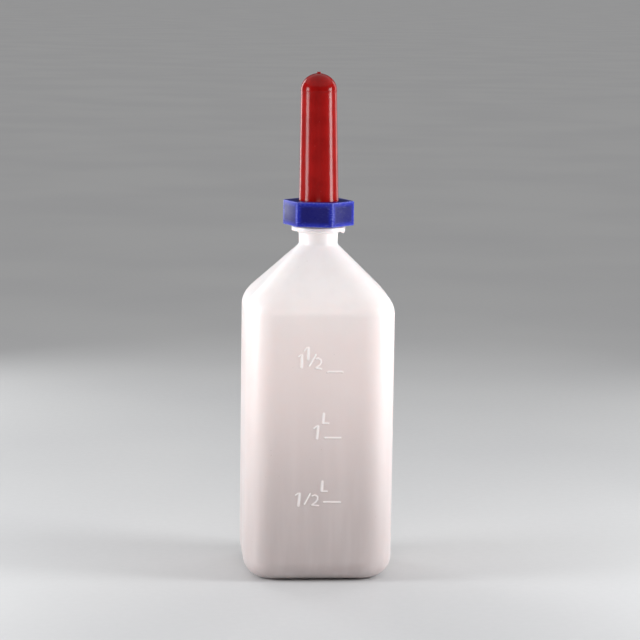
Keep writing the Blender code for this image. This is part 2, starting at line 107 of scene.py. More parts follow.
# Threads of the neck and the collar
PITCH = 3.2 * MM
THREAD_TURNS = 2.0
THREAD_RUN_OUT = 0.12  # of a turn
THREAD_START_HEIGHT = 259.3 * MM
THREAD_ROOT_WIDTH = 1.7 * MM
THREAD_CREST_WIDTH = 0.8 * MM
THREAD_ROUNDING = 0.35 * MM
THREAD_BURIED = 0.5 * MM
THREAD_LEAST_RISE = 0.12 * MM
NECK_THREAD_CREST = 19.0 * MM
COLLAR_THREAD_CREST = 18.1 * MM

# Collar
COLLAR_CORNER_RADIUS = 26.4 * MM
COLLAR_ANGLE = math.radians(-11.2)
COLLAR_EDGE_RADIUS = 0.55 * MM
COLLAR_BORE = 19.4 * MM
COLLAR_TOP_HOLE = 15.1 * MM
COLLAR_LID = 2.65 * MM

# Teat
TEAT_FLANGE_THICKNESS = 2.5 * MM
TEAT_BASE_RADIUS = 14.5 * MM
TEAT_TOP_RADIUS = 13.2 * MM
TEAT_BASE_BORE = 10.9 * MM
TEAT_TOP_BORE = 9.8 * MM
DOME_BASE_HEIGHT = 356.9 * MM
DOME_RADIUS = 13.3 * MM
DOME_RISE = 12.6 * MM
DOME_WALL = 3.4 * MM
MILK_HOLE_RADIUS = 0.8 * MM
TIP_LIP_RADIUS = 1.35 * MM
DOME_START_ANGLE = math.asin(0.15)
DOME_RING_HEIGHT = 0.7 * MM
TEAT_FILLET = 1.6 * MM
TEAT_LEAN = 1.1 * MM
TEAT_HOLLOW = 1.05  # over 1, so that the barrel is very slightly hollow and not a straight cone

# ---------------------------------------------------------------- mesh helpers

WELD = 0.002 * MM


def linked(name, data):
    """A new object in the scene, from its mesh, light or camera data."""
    made = bpy.data.objects.new(name, data)
    bpy.context.scene.collection.objects.link(made)
    return made


def object_from(name, bm):
    mesh = bpy.data.meshes.new(name)
    bm.to_mesh(mesh)
    bm.free()
    return linked(name, mesh)


def piece_from(name, bm, body, replaced):
    """Ends a piece: the body that it rides on and the CAD node that it stands for."""
    piece = object_from(name, bm)
    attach(piece, body)
    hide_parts(replaced)
    return piece


def smooth(piece, sharp_angle):
    """Smooth shading, apart from the edges that bend by more than sharp_angle degrees."""
    piece.data.shade_smooth()
    piece.data.set_sharp_from_angle(angle=math.radians(sharp_angle))


def rounded(corners, steps):
    """A closed outline from (radius, height, corner rounding), with each corner replaced by a curve."""
    most = 0.49  # of the side beside a corner, so that two curves never meet
    outline = []
    count = len(corners)
    for i, (x, z, size) in enumerate(corners):
        here = Vector((x, z))
        if size == 0:
            outline.append(here)
            continue
        before = Vector(corners[i - 1][:2]) - here
        after = Vector(corners[(i + 1) % count][:2]) - here
        start = here + before.normalized() * min(size, before.length * most)
        end = here + after.normalized() * min(size, after.length * most)
        for k in range(steps + 1):
            t = k / steps
            outline.append(start * (1 - t) ** 2 + here * 2 * t * (1 - t) + end * t * t)
    return outline


def round_row(bm, outline, angle):
    """An outline of (radius, height) as points at one angle about Z."""
    x, y = math.cos(angle), math.sin(angle)
    return [bm.verts.new((radius * x, radius * y, height)) for radius, height in outline]


def join_rows(bm, row, after):
    """A strip of faces between two closed rows of points."""
    count = len(row)
    for k in range(count):
        n = (k + 1) % count
        bm.faces.new((row[k], row[n], after[n], after[k]))


def turned(outline, segments):
    """A closed outline of (radius, height), turned about Z."""
    bm = bmesh.new()
    rows = [round_row(bm, outline, TURN * i / segments) for i in range(segments)]
    for i, row in enumerate(rows):
        join_rows(bm, row, rows[(i + 1) % segments])
    bmesh.ops.remove_doubles(bm, verts=bm.verts, dist=0.0001 * MM)
    bmesh.ops.recalc_face_normals(bm, faces=bm.faces)
    return bm


def boolean(piece, operand, operation):
    """Cuts or joins with an operand, tidies the faces along the cut and removes the operand."""
    modifier = piece.modifiers.new("boolean", "BOOLEAN")
    modifier.operation = operation
    modifier.solver = "EXACT"
    modifier.object = operand
    graph = bpy.context.evaluated_depsgraph_get()
    result = bpy.data.meshes.new_from_object(piece.evaluated_get(graph))
    piece.modifiers.clear()
    bm = bmesh.new()
    bm.from_mesh(result)
    bmesh.ops.remove_doubles(bm, verts=bm.verts, dist=WELD)
    bmesh.ops.dissolve_degenerate(bm, edges=bm.edges, dist=WELD)
    many_sided = [face for face in bm.faces if len(face.verts) > 4]
    bmesh.ops.triangulate(bm, faces=many_sided, ngon_method="BEAUTY")
    bmesh.ops.dissolve_degenerate(bm, edges=bm.edges, dist=WELD)
    bm.to_mesh(result)
    bm.free()
    piece.data = result
    bpy.data.objects.remove(operand)


def thread_ridge(root, crest, start_angle):
    """A rounded thread ridge, buried in the wall at its root and fading out at both ends."""
    segments = 96
    side = math.copysign(1, crest - root)
    buried = root - side * THREAD_BURIED
    faded = root + side * THREAD_LEAST_RISE
    bm = bmesh.new()
    rows = []
    for i in range(round(THREAD_TURNS * segments) + 1):
        turns = i / segments
        share = min(1, turns / THREAD_RUN_OUT, (THREAD_TURNS - turns) / THREAD_RUN_OUT)
        top = faded + (crest - faded) * math.sin(share * TURN / 4)
        height = THREAD_START_HEIGHT + PITCH * turns
        corners = [
            (buried, height - THREAD_ROOT_WIDTH / 2, 0),
            (top, height - THREAD_CREST_WIDTH / 2, THREAD_ROUNDING),
            (top, height + THREAD_CREST_WIDTH / 2, THREAD_ROUNDING),
            (buried, height + THREAD_ROOT_WIDTH / 2, 0),
        ]
        rows.append(round_row(bm, rounded(corners, steps=3), start_angle + TURN * turns))
    for row, after in zip(rows, rows[1:]):
        join_rows(bm, row, after)
    bm.faces.new(rows[0])
    bm.faces.new(reversed(rows[-1]))
    bmesh.ops.recalc_face_normals(bm, faces=bm.faces)
    return object_from("thread_ridge_tool", bm)


# ---------------------------------------------------------------- bottle

# The skin's columns of points: in a corner, across the front, and out from the seam in a side's middle.
# Those beside the seam keep their real distance from it, until the side is too short to hold them.
CORNER_COLUMNS = 22
FRONT_COLUMNS = 16
SIDE_COLUMNS = (0.82, 0.6, 0.38, 0.2)
SEAM_COLUMNS = (SEAM_HALF_WIDTH, SEAM_HALF_WIDTH / 2)
SEAM_MOST = 0.15  # of half a side

# The skin's rows of points
PANEL_ROWS = 8
BASE_EDGE_ROWS = 12
WALL_ROWS = 42
SHOULDER_BEND_ROWS = 12
SHOULDER_ROWS = 9


def side_column_places(half_length):
    """Places across a side wall, close together at the mould seam in its middle."""
    outer = [half_length * share for share in SIDE_COLUMNS]
    short = half_length * SEAM_MOST / SEAM_HALF_WIDTH
    seam = [min(place, short * place) for place in SEAM_COLUMNS]
    positive = outer + seam
    return positive + [0.0] + [-place for place in reversed(positive)]


def section(half_width, half_depth, size, height, power=2.0):
    """A rounded rectangle, anticlockwise from above. A power over 2 eases the corners into the flats."""
    outline = []
    flat_x, flat_y = half_width - size, half_depth - size
    for quarter, (sign_x, sign_y) in enumerate(((1, 1), (-1, 1), (-1, -1), (1, -1))):
        for i in range(CORNER_COLUMNS + 1):
            angle = (quarter + i / CORNER_COLUMNS) * TURN / 4
            along = abs(math.cos(angle)) ** (2 / power)
            across = abs(math.sin(angle)) ** (2 / power)
            outline.append((sign_x * (flat_x + size * along), sign_y * (flat_y + size * across), height))
        if sign_x == sign_y:
            places = [1 - 2 * k / FRONT_COLUMNS for k in range(1, FRONT_COLUMNS)]
            outline += [(sign_x * place * flat_x, sign_y * half_depth, height) for place in places]
        else:
            places = side_column_places(flat_y)
            outline += [(sign_x * half_width, sign_y * place, height) for place in places]
    return outline


def body_shape(inset, height, size=None):
    """What section() takes, for the body's outline moved inwards."""
    size = max(CORNER_SIZE - inset, 0) if size is None else size
    return (HALF_WIDTH - inset, HALF_DEPTH - inset, size, height, CORNER_POWER)


def shoulder_shape(share, height):
    """What section() takes, for an outline part of the way from the body's to the neck's."""
    half_width = HALF_WIDTH + (NECK_LOW_RADIUS - HALF_WIDTH) * share
    half_depth = HALF_DEPTH + (NECK_LOW_RADIUS - HALF_DEPTH) * share
    size = CORNER_SIZE + (NECK_LOW_RADIUS - CORNER_SIZE) * share
    return (half_width, half_depth, size, height, CORNER_POWER + (2 - CORNER_POWER) * share)


def base_shapes(wall):
    """The pushed-up panel, the foot ring and the rounded edge; wall is 0 on the outside."""
    shapes = []
    panel_inset = FOOT_INSET + PANEL_SLOPE
    middle_inset = HALF_DEPTH - PANEL_MIDDLE_HALF_DEPTH
    for k in range(PANEL_ROWS, 0, -1):
        inset = panel_inset + (middle_inset - panel_inset) * (k / PANEL_ROWS)
        size = PANEL_CORNER_SIZE * (HALF_DEPTH - inset) / (HALF_DEPTH - panel_inset)
        shapes.append(body_shape(inset, PANEL_RISE + wall, size))
    for k in range(PANEL_ROWS + 1):
        t = k / PANEL_ROWS
        height = PANEL_RISE * (1 + math.cos(t * TURN / 2)) / 2
        shapes.append(body_shape(FOOT_INSET + PANEL_SLOPE * (1 - t), height + wall, PANEL_CORNER_SIZE))
    radius = BASE_EDGE_RADIUS - wall
    for k in range(BASE_EDGE_ROWS + 1):
        angle = k / BASE_EDGE_ROWS * TURN / 4
        inset = wall + radius * (1 - math.sin(angle))
        shapes.append(body_shape(inset, wall + radius * (1 - math.cos(angle))))
    return shapes


def wall_shapes(wall):
    """The upright walls, without their first and last rows."""
    bottom = BASE_EDGE_RADIUS
    top = SHOULDER_HEIGHT - SHOULDER_BEND
    return [body_shape(wall, bottom + (top - bottom) * k / WALL_ROWS) for k in range(1, WALL_ROWS)]


def shoulder_shapes(wall):
    """The bend out of the walls and the straight slope up to the neck, without its last row."""
    rise = NECK_BASE_HEIGHT - SHOULDER_HEIGHT
    drop = wall * SHOULDER_INNER_DROP
    inward = wall / (HALF_WIDTH - NECK_LOW_RADIUS)
    shapes = []
    for k in range(SHOULDER_BEND_ROWS + 1):
        t = k / SHOULDER_BEND_ROWS
        height = SHOULDER_HEIGHT + SHOULDER_BEND * (2 * t - 1) - drop * t
        shapes.append(shoulder_shape(t * t * SHOULDER_BEND / rise + inward, height))
    low = shapes[-1]
    neck = (NECK_LOW_RADIUS - wall,) * 3 + (NECK_BASE_HEIGHT - drop, 2.0)
    for k in range(1, SHOULDER_ROWS):
        t = k / SHOULDER_ROWS
        shapes.append(tuple(a + (b - a) * t for a, b in zip(low, neck)))
    return shapes


def neck_shapes():
    """Up the neck's fillet, waist, flange and threaded finish, over its lip and down its bore.

    The first and last corners only steer the curves beside them. The flange's underside has rows to
    spare, for the flash that hangs from it.
    """
    spare = ((1.7, 0.6), (2.9, 1.0), (4.1, 1.4))
    underside = [(NECK_RADIUS + out * MM, NECK_TOP_HEIGHT + up * MM, 0) for out, up in spare]
    corners = [
        (NECK_LOW_RADIUS + NECK_FILLET, NECK_BASE_HEIGHT - NECK_FILLET, 0),
        (NECK_LOW_RADIUS, NECK_BASE_HEIGHT, 1.3 * MM),
        (NECK_RADIUS, NECK_TOP_HEIGHT, 0.5 * MM),
        *underside,
        (FLANGE_RADIUS - 0.1 * MM, NECK_TOP_HEIGHT + 1.8 * MM, 0.35 * MM),
        (FLANGE_RADIUS, FLANGE_TOP_HEIGHT, 0.5 * MM),
        (FINISH_RADIUS, FLANGE_TOP_HEIGHT + 0.15 * MM, 0.35 * MM),
        (FINISH_RADIUS, RIM_HEIGHT, 0.5 * MM),
        (FINISH_RADIUS - WALL, RIM_HEIGHT, 0.4 * MM),
        (FINISH_RADIUS - WALL, FLANGE_TOP_HEIGHT - 1.2 * MM, 0.6 * MM),
        (NECK_RADIUS - WALL - 0.1 * MM, NECK_TOP_HEIGHT + 0.5 * MM, 0.6 * MM),
        (NECK_LOW_RADIUS - WALL, NECK_BASE_HEIGHT, 0.8 * MM),
        (NECK_LOW_RADIUS - WALL + 1.5 * MM, NECK_BASE_HEIGHT - NECK_FILLET, 0),
    ]
    return [(radius, radius, radius, height) for radius, height in rounded(corners, steps=4)[1:-1]]


def bottle_skin():
    """One closed skin: up the outside, over the rim and down the inside."""
    outside = base_shapes(0) + wall_shapes(0) + shoulder_shapes(0)
    inside = base_shapes(WALL) + wall_shapes(WALL) + shoulder_shapes(WALL)
    shapes = outside + neck_shapes() + inside[::-1]
    bm = bmesh.new()
    rows = [[bm.verts.new(point) for point in section(*shape)] for shape in shapes]
    for lower, upper in zip(rows, rows[1:]):
        for i in range(len(lower)):
            j = (i + 1) % len(lower)
            bm.faces.new((lower[i], lower[j], upper[j], upper[i]))
    bm.faces.new(reversed(rows[0]))
    bm.faces.new(rows[-1])
    bmesh.ops.remove_doubles(bm, verts=bm.verts, dist=0.001 * MM)
    return bm


# Level marks on the front face, in millimetres: half a stroke's width, then the stroke's points (x, z).
FINE, SLIM, PLAIN, STEM = 0.7, 0.75, 0.8, 1.25
MARK_STROKES = (
    # One and a half litres: the level's line, the whole number and the fraction
    (PLAIN, (4.1, 156.2), (5.0, 156.6), (14.2, 156.6), (15.2, 156.2)),
    (FINE, (-16.9, 167.5), (-15.6, 168.6), (-14.6, 168.4)),
    (STEM, (-14.6, 168.4), (-14.7, 159.8)),
    (FINE, (-12.8, 171.8), (-11.2, 173.8), (-10.0, 173.6)),
    (STEM, (-10.0, 173.6), (-10.1, 165.6)),
    (SLIM, (-4.6, 168.8), (-9.0, 160.8)),
    (PLAIN, (-4.2, 166.0), (-2.8, 166.3), (-0.9, 165.2), (-0.6, 163.3),
     (-1.7, 161.4), (-4.3, 159.4), (-0.5, 158.5)),
    # One litre: the line, the number and the letter
    (PLAIN, (2.9, 108.0), (14.4, 108.0)),
    (FINE, (-5.2, 114.9), (-3.4, 116.4), (-2.3, 116.3)),
    (STEM, (-2.3, 116.3), (-2.8, 107.6)),
    (STEM, (1.7, 125.6), (1.4, 119.0)),
    (SLIM, (1.4, 118.7), (5.4, 118.6)),
    # Half a litre: the line, the fraction and the letter
    (PLAIN, (2.7, 60.5), (14.7, 60.3)),
    (FINE, (-18.1, 65.6), (-16.2, 66.9), (-15.1, 66.7)),
    (STEM, (-15.1, 66.7), (-15.8, 57.8)),
    (SLIM, (-7.4, 66.6), (-11.4, 58.9)),
    (PLAIN, (-5.9, 65.0), (-3.9, 65.6), (-1.9, 64.4), (-1.9, 62.4),
     (-3.4, 60.4), (-6.1, 58.3), (-1.4, 57.8)),
    (STEM, (1.4, 75.6), (1.1, 68.8)),
    (SLIM, (1.1, 68.5), (5.0, 68.4)),
)

# Where the front wall is divided finely for them: heights and sides, in millimetres, and cuts to an edge
MARK_WINDOWS = ((54, 80), (103, 130), (152, 178))
MARK_LEFT, MARK_RIGHT = -21.5, 19
MARK_CUTS = 13
ON_FACE = 0.01 * MM


def refine_mark_windows(bm):
    """Divides the front wall finely where the level marks are, and nowhere else."""
    chosen = set()
    for face in bm.faces:
        centre = face.calc_center_median()
        on_front = abs(centre.y + HALF_DEPTH) < ON_FACE and MARK_LEFT * MM < centre.x < MARK_RIGHT * MM
        if on_front and any(low * MM < centre.z < high * MM for low, high in MARK_WINDOWS):
            chosen.update(face.edges)
    bmesh.ops.subdivide_edges(bm, edges=list(chosen), cuts=MARK_CUTS, use_grid_fill=True)


def stroke_distance(x, z, stroke):
    """Distance from each point to a stroke, an open line of straight pieces."""
    nearest = np.full(x.shape, np.inf)
    for (ax, az), (bx, bz) in zip(stroke, stroke[1:]):
        ax, az, bx, bz = (value * MM for value in (ax, az, bx, bz))
        length = (bx - ax) ** 2 + (bz - az) ** 2
        share = np.clip(((x - ax) * (bx - ax) + (z - az) * (bz - az)) / length, 0, 1)
        distance = np.hypot(x - ax - share * (bx - ax), z - az - share * (bz - az))
        nearest = np.minimum(nearest, distance)
    return nearest


def raise_marks(points):
    """Lifts the front face over the strokes, with soft shoulders."""
    on_front = np.abs(points[:, 1] + HALF_DEPTH) < ON_FACE
    x, z = points[on_front, 0], points[on_front, 2]
    share = np.zeros(x.shape)
    for half_width, *stroke in MARK_STROKES:
        nearest = stroke_distance(x, z, stroke)
        share = np.maximum(share, np.clip(1 - (nearest / (half_width * MM)) ** 2, 0, 1))
    points[on_front, 1] -= MARK_PROUD * share


def raise_seam(points):
    """Lifts the mould seam, in the plane y = 0: up both sides and across the base."""
    x, y, z = points.T
    share = np.clip(1 - (np.abs(y) / SEAM_HALF_WIDTH) ** 2, 0, 1)
    outside = np.abs(x) > outer_half_width(z) - WALL / 2
    beside = outside & (z > SIDE_SEAM_LOW) & (z < SIDE_SEAM_HIGH)
    points[:, 0] += np.sign(x) * SEAM_PROUD * share * beside
    under = (z > BASE_SEAM_LOW) & (z < BASE_SEAM_HIGH) & (np.abs(x) < BASE_SEAM_REACH)
    points[:, 2] -= BASE_SEAM_PROUD * share * under


def outer_half_width(z):
    """Half the bottle's width at each height, on the outside."""
    rise = NECK_BASE_HEIGHT - SHOULDER_HEIGHT
    t = np.clip((z - SHOULDER_HEIGHT + SHOULDER_BEND) / (2 * SHOULDER_BEND), 0, 1)
    bend = t * t * SHOULDER_BEND / rise
    slope = np.clip((z - SHOULDER_HEIGHT) / rise, 0, 1)
    share = np.where(t < 1, bend, slope)
    return HALF_WIDTH + (NECK_LOW_RADIUS - HALF_WIDTH) * share


def hang_flash(points):
    """Flash under the flange, in the plane y = 0: a tab on the right and a little on the left."""
    x, y, z = points.T
    radius = np.hypot(x, y)
    along = np.clip(1 - np.abs(y) / FLASH_HALF_LENGTH, 0, 1)
    across = np.clip(1 - np.abs(radius - FLASH_RADIUS) / FLASH_HALF_REACH, 0, 1)
    low, high = NECK_TOP_HEIGHT + 0.2 * MM, NECK_TOP_HEIGHT + 2.2 * MM
    underside = (z > low) & (z < high) & (radius > NECK_RADIUS + 1 * MM)
    hang = np.where(x > 0, FLASH_RIGHT_HANG, FLASH_LEFT_HANG)
    points[:, 2] -= hang * np.sqrt(across * along) * underside


def build_bottle():
    bm = bottle_skin()
    refine_mark_windows(bm)
    points = np.array([vert.co for vert in bm.verts])
    raise_marks(points)
    raise_seam(points)
    hang_flash(points)
    for vert, point in zip(bm.verts, points):
        vert.co = point
    bottle = piece_from("bottle_shell", bm, "bottle", "bottle")
    boolean(bottle, thread_ridge(FINISH_RADIUS, NECK_THREAD_CREST, start_angle=0), "UNION")
    smooth(bottle, sharp_angle=40)
    return bottle


# ---------------------------------------------------------------- collar


def build_collar():
    """A six-sided cap with a turned bore and a thread inside."""
    bm = bmesh.new()
    bmesh.ops.create_cone(
        bm,
        cap_ends=True,
        segments=6,
        radius1=COLLAR_CORNER_RADIUS,
        radius2=COLLAR_CORNER_RADIUS,
        depth=COLLAR_HIGH.z - COLLAR_LOW.z,
    )
    bmesh.ops.rotate(bm, verts=bm.verts, matrix=Matrix.Rotation(TURN / 12 + COLLAR_ANGLE, 3, "Z"))
    bmesh.ops.translate(bm, verts=bm.verts, vec=(0, 0, (COLLAR_LOW.z + COLLAR_HIGH.z) / 2))
    bmesh.ops.bevel(
        bm,
        geom=bm.edges[:],
        offset=COLLAR_EDGE_RADIUS,
        offset_type="OFFSET",
        segments=4,
        profile=0.5,
        affect="EDGES",
    )
    collar = piece_from("screw_collar_shell", bm, "collar", "screw_collar")
    boolean(collar, collar_bore(), "DIFFERENCE")
    thread = thread_ridge(COLLAR_BORE, COLLAR_THREAD_CREST, start_angle=TURN / 2)
    boolean(collar, thread, "UNION")
    smooth(collar, sharp_angle=30)
    return collar


def collar_bore():
    """What is cut out of the collar, a little past it at both ends: the lid's hole and the bore."""
    low, high = COLLAR_LOW.z, COLLAR_HIGH.z
    ceiling = high - COLLAR_LID
    past = 1 * MM
    corners = [
        (0, high + past, 0),
        (COLLAR_TOP_HOLE + 1.1 * MM, high + past, 0),
        (COLLAR_TOP_HOLE, high - 0.35 * MM, 0.3 * MM),
        (COLLAR_TOP_HOLE, ceiling, 0),
        (COLLAR_BORE, ceiling, 0.5 * MM),
        (COLLAR_BORE, low + 0.7 * MM, 0.4 * MM),
        (COLLAR_BORE + 1.7 * MM, low - past, 0),
        (0, low - past, 0),
    ]
    return object_from("bore_tool", turned(rounded(corners, steps=5), segments=120))


# ---------------------------------------------------------------- teat


def dome(radius, rise, first, last, steps):
    """Points down a quarter ellipse, from angle first to last, measured from the tip."""
    points = []
    for i in range(steps + 1):
        angle = first + (last - first) * i / steps
        points.append((radius * math.sin(angle), DOME_BASE_HEIGHT + rise * math.cos(angle), 0))
    return points


def barrel(top_height, base_height, steps):
    """Points down the barrel's side, without the first."""
    points = []
    for i in range(1, steps + 1):
        t = i / steps
        radius = TEAT_TOP_RADIUS + (TEAT_BASE_RADIUS - TEAT_TOP_RADIUS) * t ** TEAT_HOLLOW
        points.append((radius, top_height + (base_height - top_height) * t, 0))
    return points


def build_teat():
    """Down the outside from the milk hole, round the flange and up the bore."""
    tip = TEAT_HIGH.z
    flange_top = TEAT_LOW.z + TEAT_FLANGE_THICKNESS
    ring_foot = DOME_BASE_HEIGHT - DOME_RING_HEIGHT
    corners = [
        (MILK_HOLE_RADIUS, tip - 0.1 * MM, 0.25 * MM),
        (MILK_HOLE_RADIUS + 0.35 * MM, tip, 0.2 * MM),
        (TIP_LIP_RADIUS, tip - 0.1 * MM, 0.3 * MM),
        (TIP_LIP_RADIUS + 0.1 * MM, tip - 1.0 * MM, 0.2 * MM),
    ]
    corners += dome(DOME_RADIUS, DOME_RISE, DOME_START_ANGLE, TURN / 4, steps=28)
    corners += [
        (DOME_RADIUS + 0.12 * MM, DOME_BASE_HEIGHT - 0.25 * MM, 0.1 * MM),
        (TEAT_TOP_RADIUS, ring_foot, 0.15 * MM),
    ]
    corners += barrel(ring_foot, COLLAR_HIGH.z + TEAT_FILLET, steps=24)
    corners += [
        (TEAT_BASE_RADIUS + 0.25 * MM, COLLAR_HIGH.z, 0.8 * MM),
        (TEAT_BASE_RADIUS, flange_top, 0.4 * MM),
        (TEAT_HIGH.x, flange_top, 0.6 * MM),
        (TEAT_HIGH.x, TEAT_LOW.z, 0.6 * MM),
        (TEAT_BASE_BORE, TEAT_LOW.z, 0.4 * MM),
        (TEAT_TOP_BORE, DOME_BASE_HEIGHT, 0),
    ]
    inner_rise = DOME_RISE - DOME_WALL
    last = math.asin(MILK_HOLE_RADIUS / TEAT_TOP_BORE)
    corners += dome(TEAT_TOP_BORE, inner_rise, TURN / 4, last, steps=14)[1:]
    bm = turned(rounded(corners, steps=3), segments=128)
    for vert in bm.verts:
        vert.co.x -= TEAT_LEAN * max(0, vert.co.z - COLLAR_HIGH.z) / (tip - COLLAR_HIGH.z)
    teat = piece_from("teat_rubber", bm, "teat", "teat")
    smooth(teat, sharp_angle=50)
    return teat


# ---------------------------------------------------------------- materials


class Shader:
    """A material's node tree, built with short calls. Lengths in its textures are in millimetres."""

    def __init__(self, name):
        self.material = bpy.data.materials.new(name)
        self.material.use_nodes = True
        self.tree = self.material.node_tree
        self.surface = self.tree.nodes["Principled BSDF"]
        coordinates = self.node("ShaderNodeTexCoord")
        scaled = self.node("ShaderNodeVectorMath", operation="SCALE")
        scaled.inputs["Scale"].default_value = 1 / MM
        self.link(coordinates.outputs["Object"], scaled.inputs[0])
        self.place = scaled.outputs[0]

    def node(self, kind, **settings):
        made = self.tree.nodes.new(kind)
        for key, value in settings.items():
            setattr(made, key, value)
        return made

    def link(self, source, target):
        self.tree.links.new(source, target)

    def put(self, socket, value):
        """Sets an input to a plain value, or links an output to it."""
        if isinstance(value, bpy.types.NodeSocket):
            self.link(value, socket)
        else:
            socket.default_value = value

    def set(self, **values):
        """Sets inputs of the surface shader, so that base_color=... is Base Color."""
        for key, value in values.items():
            name = key.replace("_", " ").title().replace("Ior", "IOR")
            self.put(self.surface.inputs[name], value)

    def stretched(self, x, y, z):
        """Coordinates squeezed on each axis, so that a texture streaks along the axis with the least."""
        node = self.node("ShaderNodeVectorMath", operation="MULTIPLY")
        self.link(self.place, node.inputs[0])
        node.inputs[1].default_value = (x, y, z)
        return node.outputs[0]

    def noise(self, size, detail, roughness=0.5, place=None):
        """Noise whose features are about size millimetres."""
        node = self.node("ShaderNodeTexNoise")
        self.link(place or self.place, node.inputs["Vector"])
        node.inputs["Scale"].default_value = 1 / size
        node.inputs["Detail"].default_value = detail
        node.inputs["Roughness"].default_value = roughness
        return node.outputs["Fac"]

    def cells(self, size):
        """Distance to scattered points about size millimetres apart, as a share of that size."""
        node = self.node("ShaderNodeTexVoronoi")
        self.link(self.place, node.inputs["Vector"])
        node.inputs["Scale"].default_value = 1 / size
        return node.outputs["Distance"]

    def ramp(self, value, low, high, low_out=0.0, high_out=1.0):
        """Maps low..high to low_out..high_out, held at both ends."""
        node = self.node("ShaderNodeMapRange", interpolation_type="SMOOTHSTEP")
        self.link(value, node.inputs["Value"])
        node.inputs["From Min"].default_value = low
        node.inputs["From Max"].default_value = high
        node.inputs["To Min"].default_value = low_out
        node.inputs["To Max"].default_value = high_out
        return node.outputs["Result"]

    def math(self, operation, first, *others):
        """One operation over two or more values from left to right, or over one value."""
        for other in others or (0.0,):
            node = self.node("ShaderNodeMath", operation=operation)
            self.put(node.inputs[0], first)
            self.put(node.inputs[1], other)
            first = node.outputs[0]
        return first

    def along(self, direction):
        """How far a point lies along a direction, in millimetres."""
        node = self.node("ShaderNodeVectorMath", operation="DOT_PRODUCT")
        self.link(self.place, node.inputs[0])
        node.inputs[1].default_value = direction
        return node.outputs["Value"]

    def hexagon_edge(self):
        """Distance to the nearest edge of the collar's outside, in millimetres.

        Each pair of opposite sides faces along one direction. The two of the three directions that a
        point lies furthest along tell how close it is to an upright edge.
        """
        sides = []
        for k in range(3):
            angle = COLLAR_ANGLE + TURN / 12 + k * TURN / 6
            sides.append(self.math("ABSOLUTE", self.along((math.cos(angle), math.sin(angle), 0))))
        most = self.math("MAXIMUM", *sides)
        least = self.math("MINIMUM", *sides)
        middle = self.math("SUBTRACT", self.math("ADD", *sides), most, least)
        beside = self.math("DIVIDE", self.math("SUBTRACT", most, middle), math.sin(TURN / 6))
        height = self.along((0, 0, 1))
        above_foot = self.math("SUBTRACT", height, COLLAR_LOW.z / MM)
        below_lid = self.math("SUBTRACT", COLLAR_HIGH.z / MM, height)
        inward = self.math("SUBTRACT", COLLAR_CORNER_RADIUS * math.cos(TURN / 12) / MM, most)
        return self.math("MAXIMUM", inward, self.math("MINIMUM", beside, above_foot, below_lid))

    def mix(self, share, a, b):
        """A colour between a and b."""
        node = self.node("ShaderNodeMix", data_type="RGBA")
        self.put(node.inputs["Factor"], share)
        self.put(node.inputs[6], a)
        self.put(node.inputs[7], b)
        return node.outputs[2]

    def mottled(self, cloud, light, dark):
        """A colour that drifts between two close tones as the cloud does."""
        return self.mix(self.ramp(cloud, 0.35, 0.65), colour(*light), colour(*dark))

    def over(self, tone, share, strength, *channels):
        """Lays a colour over a tone, by a share from 0 to 1 times a strength."""
        return self.mix(self.math("MULTIPLY", share, strength), tone, colour(*channels))

    def rough(self, grain, low, high, *marks):
        """Roughness that follows a grain from low to high, plus (share, amount) for each mark."""
        total = self.ramp(grain, 0.3, 0.7, low, high)
        for share, amount in marks:
            total = self.math("ADD", total, self.math("MULTIPLY", share, amount))
        return total

    def bump(self, *layers):
        """Stacks (height in mm, texture) layers into one normal."""
        normal = None
        for depth, texture in layers:
            node = self.node("ShaderNodeBump")
            node.inputs["Strength"].default_value = 1.0
            node.inputs["Distance"].default_value = depth * MM
            self.link(texture, node.inputs["Height"])
            if normal:
                self.link(normal, node.inputs["Normal"])
            normal = node.outputs[0]
        self.link(normal, self.surface.inputs["Normal"])


def colour(red, green, blue):
    return (red, green, blue, 1.0)


def bottle_material():
    """Milky plastic, paled towards the neck by painted light and darkened towards the foot by painted
    shade, with flow streaks, scuffs, marks paled by a painted highlight and a few dots.
    """
    shader = Shader("white_polyethylene")
    height = shader.along((0, 0, 1))
    # Painted shade darkens the tone towards the foot, and painted light pales it towards the neck, where
    # the shoulder faces the light from above.
    painted_shade_towards_foot = shader.ramp(height, 215, 5)
    painted_light_towards_neck = shader.ramp(height, 170, 225)
    face = HALF_DEPTH / MM
    # Painted highlight: the raised level marks are paled towards white.
    painted_highlight_on_marks = shader.ramp(shader.along((0, -1, 0)), face + 0.05, face + 0.38)
    streak = shader.noise(9, 2, place=shader.stretched(1, 1, 0.12))
    grain = shader.noise(1.3, 2)
    scuff = shader.ramp(shader.noise(2.2, 4, 0.65, place=shader.stretched(1, 1, 0.3)), 0.60, 0.74)
    dots = shader.ramp(shader.cells(7.5), 0.050, 0.025)
    here_and_there = shader.ramp(shader.noise(23, 2), 0.50, 0.56)
    tone = shader.mottled(shader.noise(38, 2), (0.90, 0.79, 0.77), (0.885, 0.775, 0.755))
    # Painted shade towards the foot, then painted light towards the neck.
    tone = shader.over(tone, painted_shade_towards_foot, 0.85, 0.53, 0.465, 0.455)
    tone = shader.over(tone, painted_light_towards_neck, 1.0, 0.945, 0.865, 0.855)
    tone = shader.over(tone, shader.ramp(streak, 0.42, 0.72), 0.16, 0.83, 0.75, 0.735)
    # Paints a highlight on the raised marks.
    tone = shader.over(tone, painted_highlight_on_marks, 0.8, 0.97, 0.92, 0.91)
    tone = shader.over(tone, shader.math("MULTIPLY", dots, here_and_there), 0.45, 0.34, 0.27, 0.24)
    shader.set(
        base_color=tone,
        roughness=shader.rough(grain, 0.30, 0.38, (scuff, 0.14)),
        ior=1.52,
        subsurface_weight=0.45,
        subsurface_scale=0.0022,
        subsurface_radius=(1.0, 0.72, 0.66),
    )
    shader.bump((0.03, streak), (0.02, grain), (0.01, scuff))
    return shader.material


